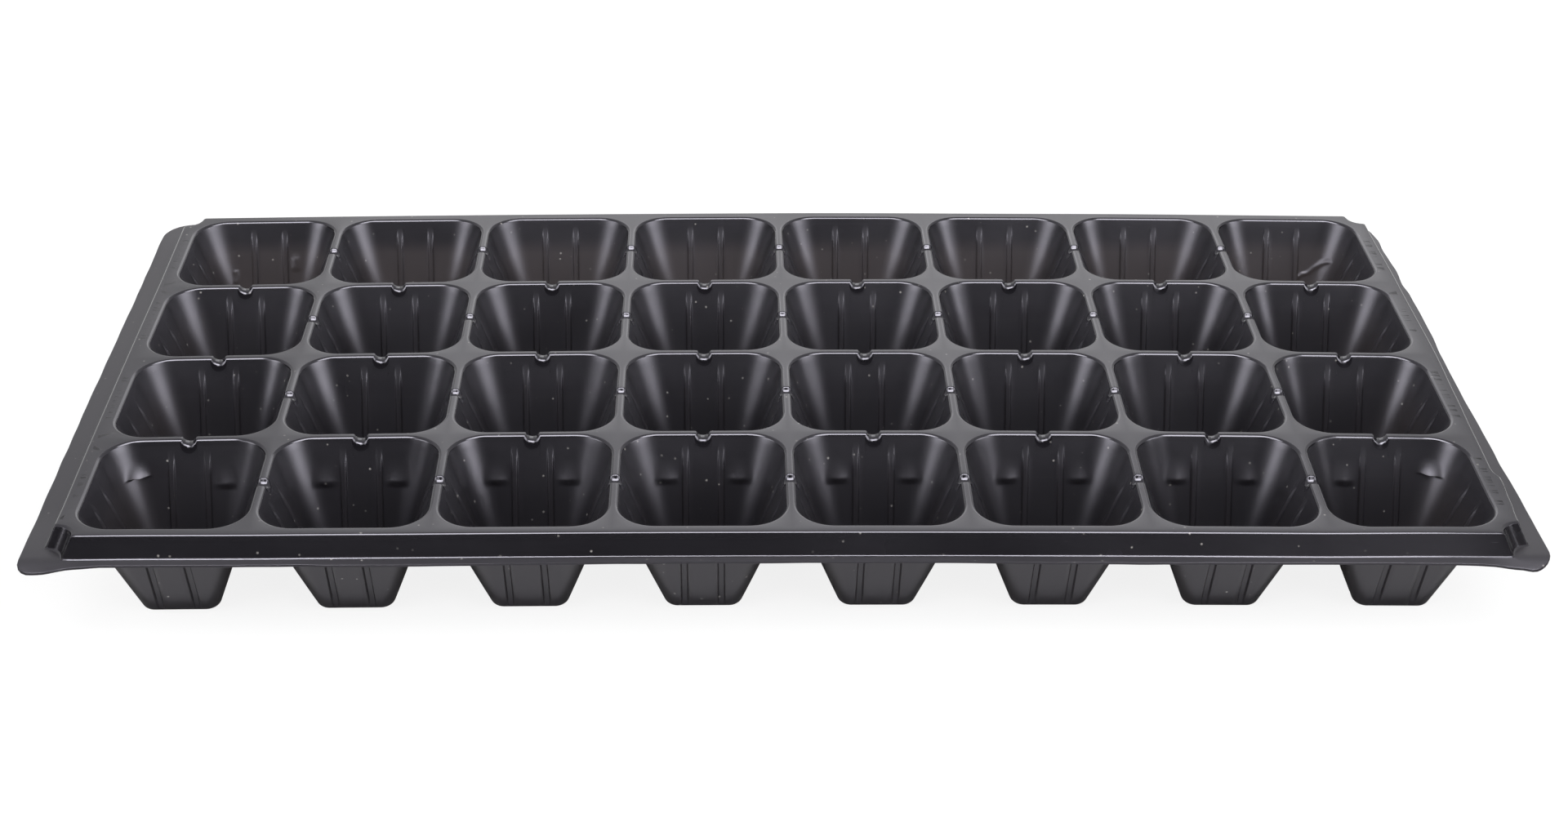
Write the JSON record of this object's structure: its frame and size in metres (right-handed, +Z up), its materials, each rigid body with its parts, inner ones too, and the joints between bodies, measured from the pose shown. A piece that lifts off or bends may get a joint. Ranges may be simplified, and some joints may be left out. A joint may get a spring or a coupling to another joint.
{
  "type": "seed tray",
  "caption": "Black formed plastic propagation tray: tapered ribbed cells in rows under a flat deck, notched webs between them, slanting skirt, flat lip and hollow corners.",
  "frame": {"origin": "on the bench under the middle of the tray, at the level of the cell bottoms", "axes": "+X along the long side to the right, +Y to the back, +Z up out of the cells"},
  "size_m": [0.54, 0.28, 0.046],
  "materials": {
    "black_styrene": "satin black thermoformed polystyrene sheet with fine scuffs"
  },
  "bodies": {
    "root": {"cell_r1_c1": "black_styrene", "cell_r1_c2": "black_styrene", "cell_r1_c3": "black_styrene", "cell_r1_c4": "black_styrene", "cell_r1_c5": "black_styrene", "cell_r1_c6": "black_styrene", "cell_r1_c7": "black_styrene", "cell_r1_c8": "black_styrene", "cell_r2_c1": "black_styrene", "cell_r2_c2": "black_styrene", "cell_r2_c3": "black_styrene", "cell_r2_c4": "black_styrene", "cell_r2_c5": "black_styrene", "cell_r2_c6": "black_styrene", "cell_r2_c7": "black_styrene", "cell_r2_c8": "black_styrene", "cell_r3_c1": "black_styrene", "cell_r3_c2": "black_styrene", "cell_r3_c3": "black_styrene", "cell_r3_c4": "black_styrene", "cell_r3_c5": "black_styrene", "cell_r3_c6": "black_styrene", "cell_r3_c7": "black_styrene", "cell_r3_c8": "black_styrene", "cell_r4_c1": "black_styrene", "cell_r4_c2": "black_styrene", "cell_r4_c3": "black_styrene", "cell_r4_c4": "black_styrene", "cell_r4_c5": "black_styrene", "cell_r4_c6": "black_styrene", "cell_r4_c7": "black_styrene", "cell_r4_c8": "black_styrene", "rim_front": "black_styrene", "rim_back": "black_styrene", "rim_left": "black_styrene", "rim_right": "black_styrene", "corner_front_left": "black_styrene", "corner_front_right": "black_styrene", "corner_back_left": "black_styrene", "corner_back_right": "black_styrene"}
  },
  "joints": []
}
